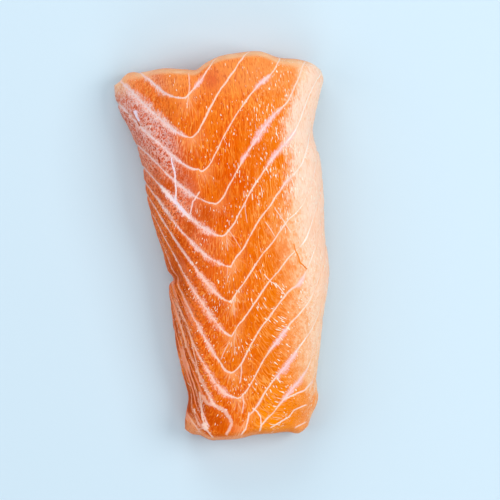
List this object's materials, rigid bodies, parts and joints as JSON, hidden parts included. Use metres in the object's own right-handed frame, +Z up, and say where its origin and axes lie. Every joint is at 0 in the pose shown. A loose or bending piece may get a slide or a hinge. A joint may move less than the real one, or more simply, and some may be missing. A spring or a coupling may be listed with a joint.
{
  "type": "raw salmon loin",
  "caption": "Boneless block of raw salmon that lies flat, with chevron muscle layers between pale fat lines, a pointed corner and a small notch in its left edge.",
  "frame": {"origin": "middle of the loin's footprint, on the surface that it lies on", "axes": "+Y along the loin towards its wide end, +X across it towards the fatty flank, +Z up"},
  "size_m": [0.076, 0.137, 0.0271],
  "materials": {
    "flesh": "moist raw fish flesh, softly glossy"
  },
  "bodies": {
    "root": {"salmon_loin": "flesh"}
  },
  "joints": []
}
